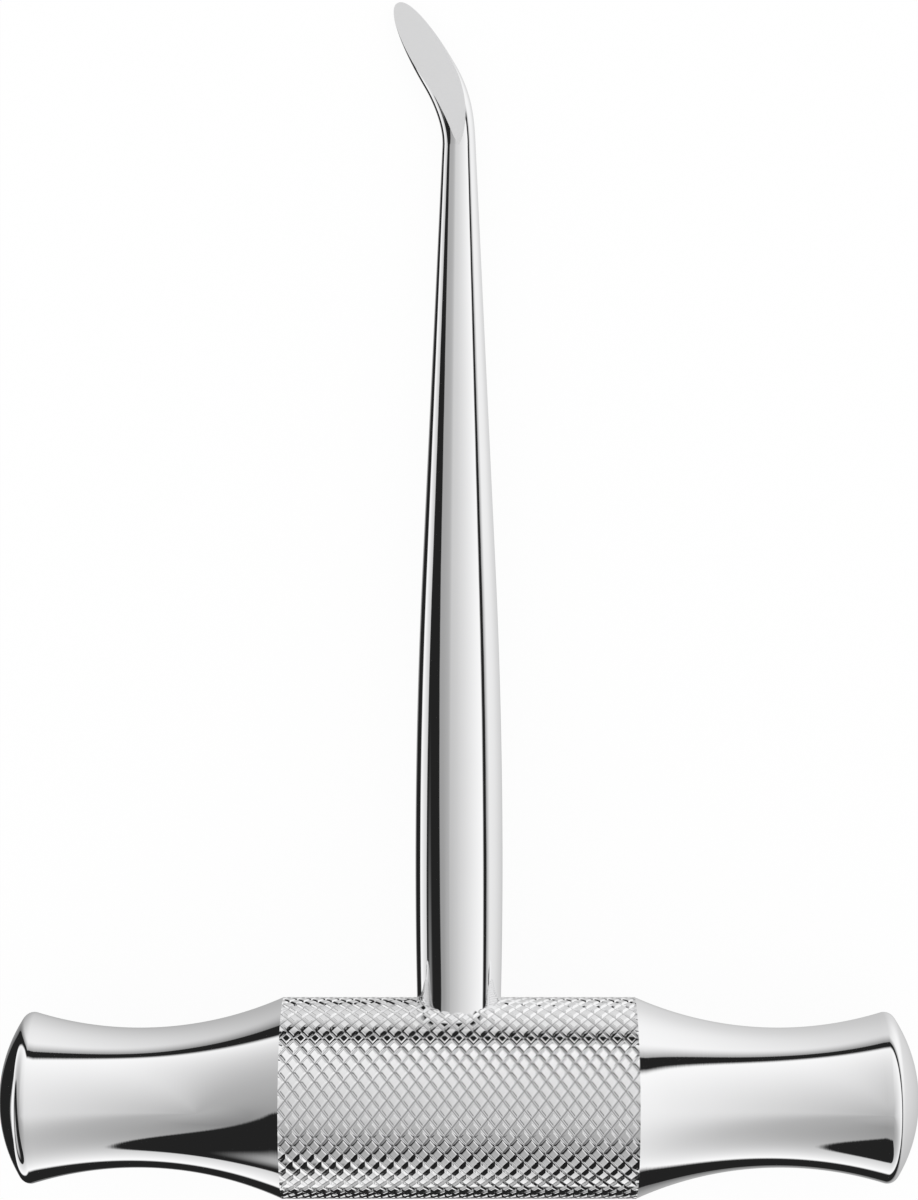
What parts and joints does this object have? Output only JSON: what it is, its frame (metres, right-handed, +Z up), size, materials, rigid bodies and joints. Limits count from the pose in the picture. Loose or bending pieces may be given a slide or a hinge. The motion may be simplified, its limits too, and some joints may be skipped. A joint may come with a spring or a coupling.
{
  "type": "cross-bar elevator",
  "caption": "Cross-bar root elevator in polished steel: a knurled T-handle with waisted arms and domed ends, a tapering round shank and a bent blade with a flat ground face.",
  "frame": {"origin": "centre of the ground that the instrument covers, on the surface it lies on", "axes": "+X along the cross-bar handle, +Y from the handle along the shank to the blade's tip, +Z up from the surface; the blade bends towards -X and its ground face looks up"},
  "size_m": [0.0842, 0.1095, 0.0183],
  "materials": {
    "handle_steel": "mirror-polished stainless steel with a crisp diamond knurl round the grip",
    "shank_steel": "mirror-polished stainless steel with an evenly ground blade face"
  },
  "bodies": {
    "root": {"crossbar_handle": "handle_steel", "shank_and_blade": "shank_steel"}
  },
  "joints": []
}
